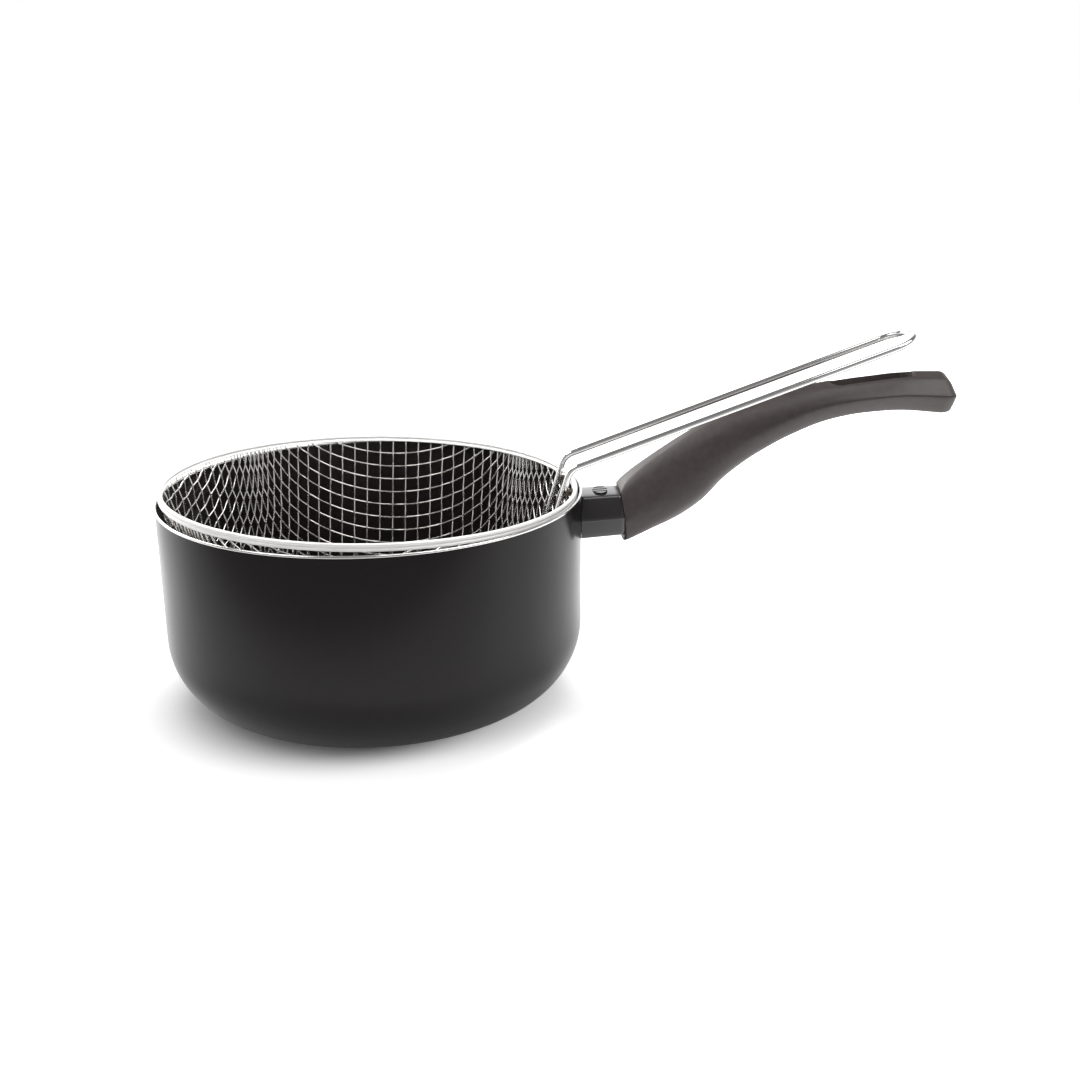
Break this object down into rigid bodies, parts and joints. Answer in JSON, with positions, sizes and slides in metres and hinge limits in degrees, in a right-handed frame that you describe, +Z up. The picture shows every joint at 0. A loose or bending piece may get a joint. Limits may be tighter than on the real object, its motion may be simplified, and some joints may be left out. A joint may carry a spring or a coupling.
{
  "type": "chip pot with lift-out basket",
  "caption": "Round enamelled pot with a bright rim and a swept side handle, holding a drawn wire-mesh frying basket with a bent wire handle that lifts straight out.",
  "frame": {"origin": "centre of the pot's flat base, where it stands", "axes": "+Z up, +X along both handles"},
  "size_m": [0.3766, 0.2, 0.1684],
  "materials": {
    "enamel": "glossy dark enamel",
    "bright_steel": "polished",
    "plated_steel": "plated, satin",
    "collar_gloss": "glossy",
    "grip_matte": "fine matte",
    "tinned_wire": "bright tinned"
  },
  "bodies": {
    "pot": {"pot_shell": "enamel", "rim_band": "bright_steel", "handle_bracket": "plated_steel", "handle_collar": "collar_gloss", "handle_grip": "grip_matte", "grip_bolt": "plated_steel", "bolt_washer": "plated_steel"},
    "basket": {"basket_mesh": "tinned_wire", "basket_hem": "tinned_wire", "basket_ring_wire": "tinned_wire", "basket_handle": "tinned_wire"}
  },
  "joints": [
    {"name": "basket_lift", "type": "slide", "parent": "pot", "child": "basket", "axis": [0, 0, 1], "range_m": [0, 0.12]}
  ]
}
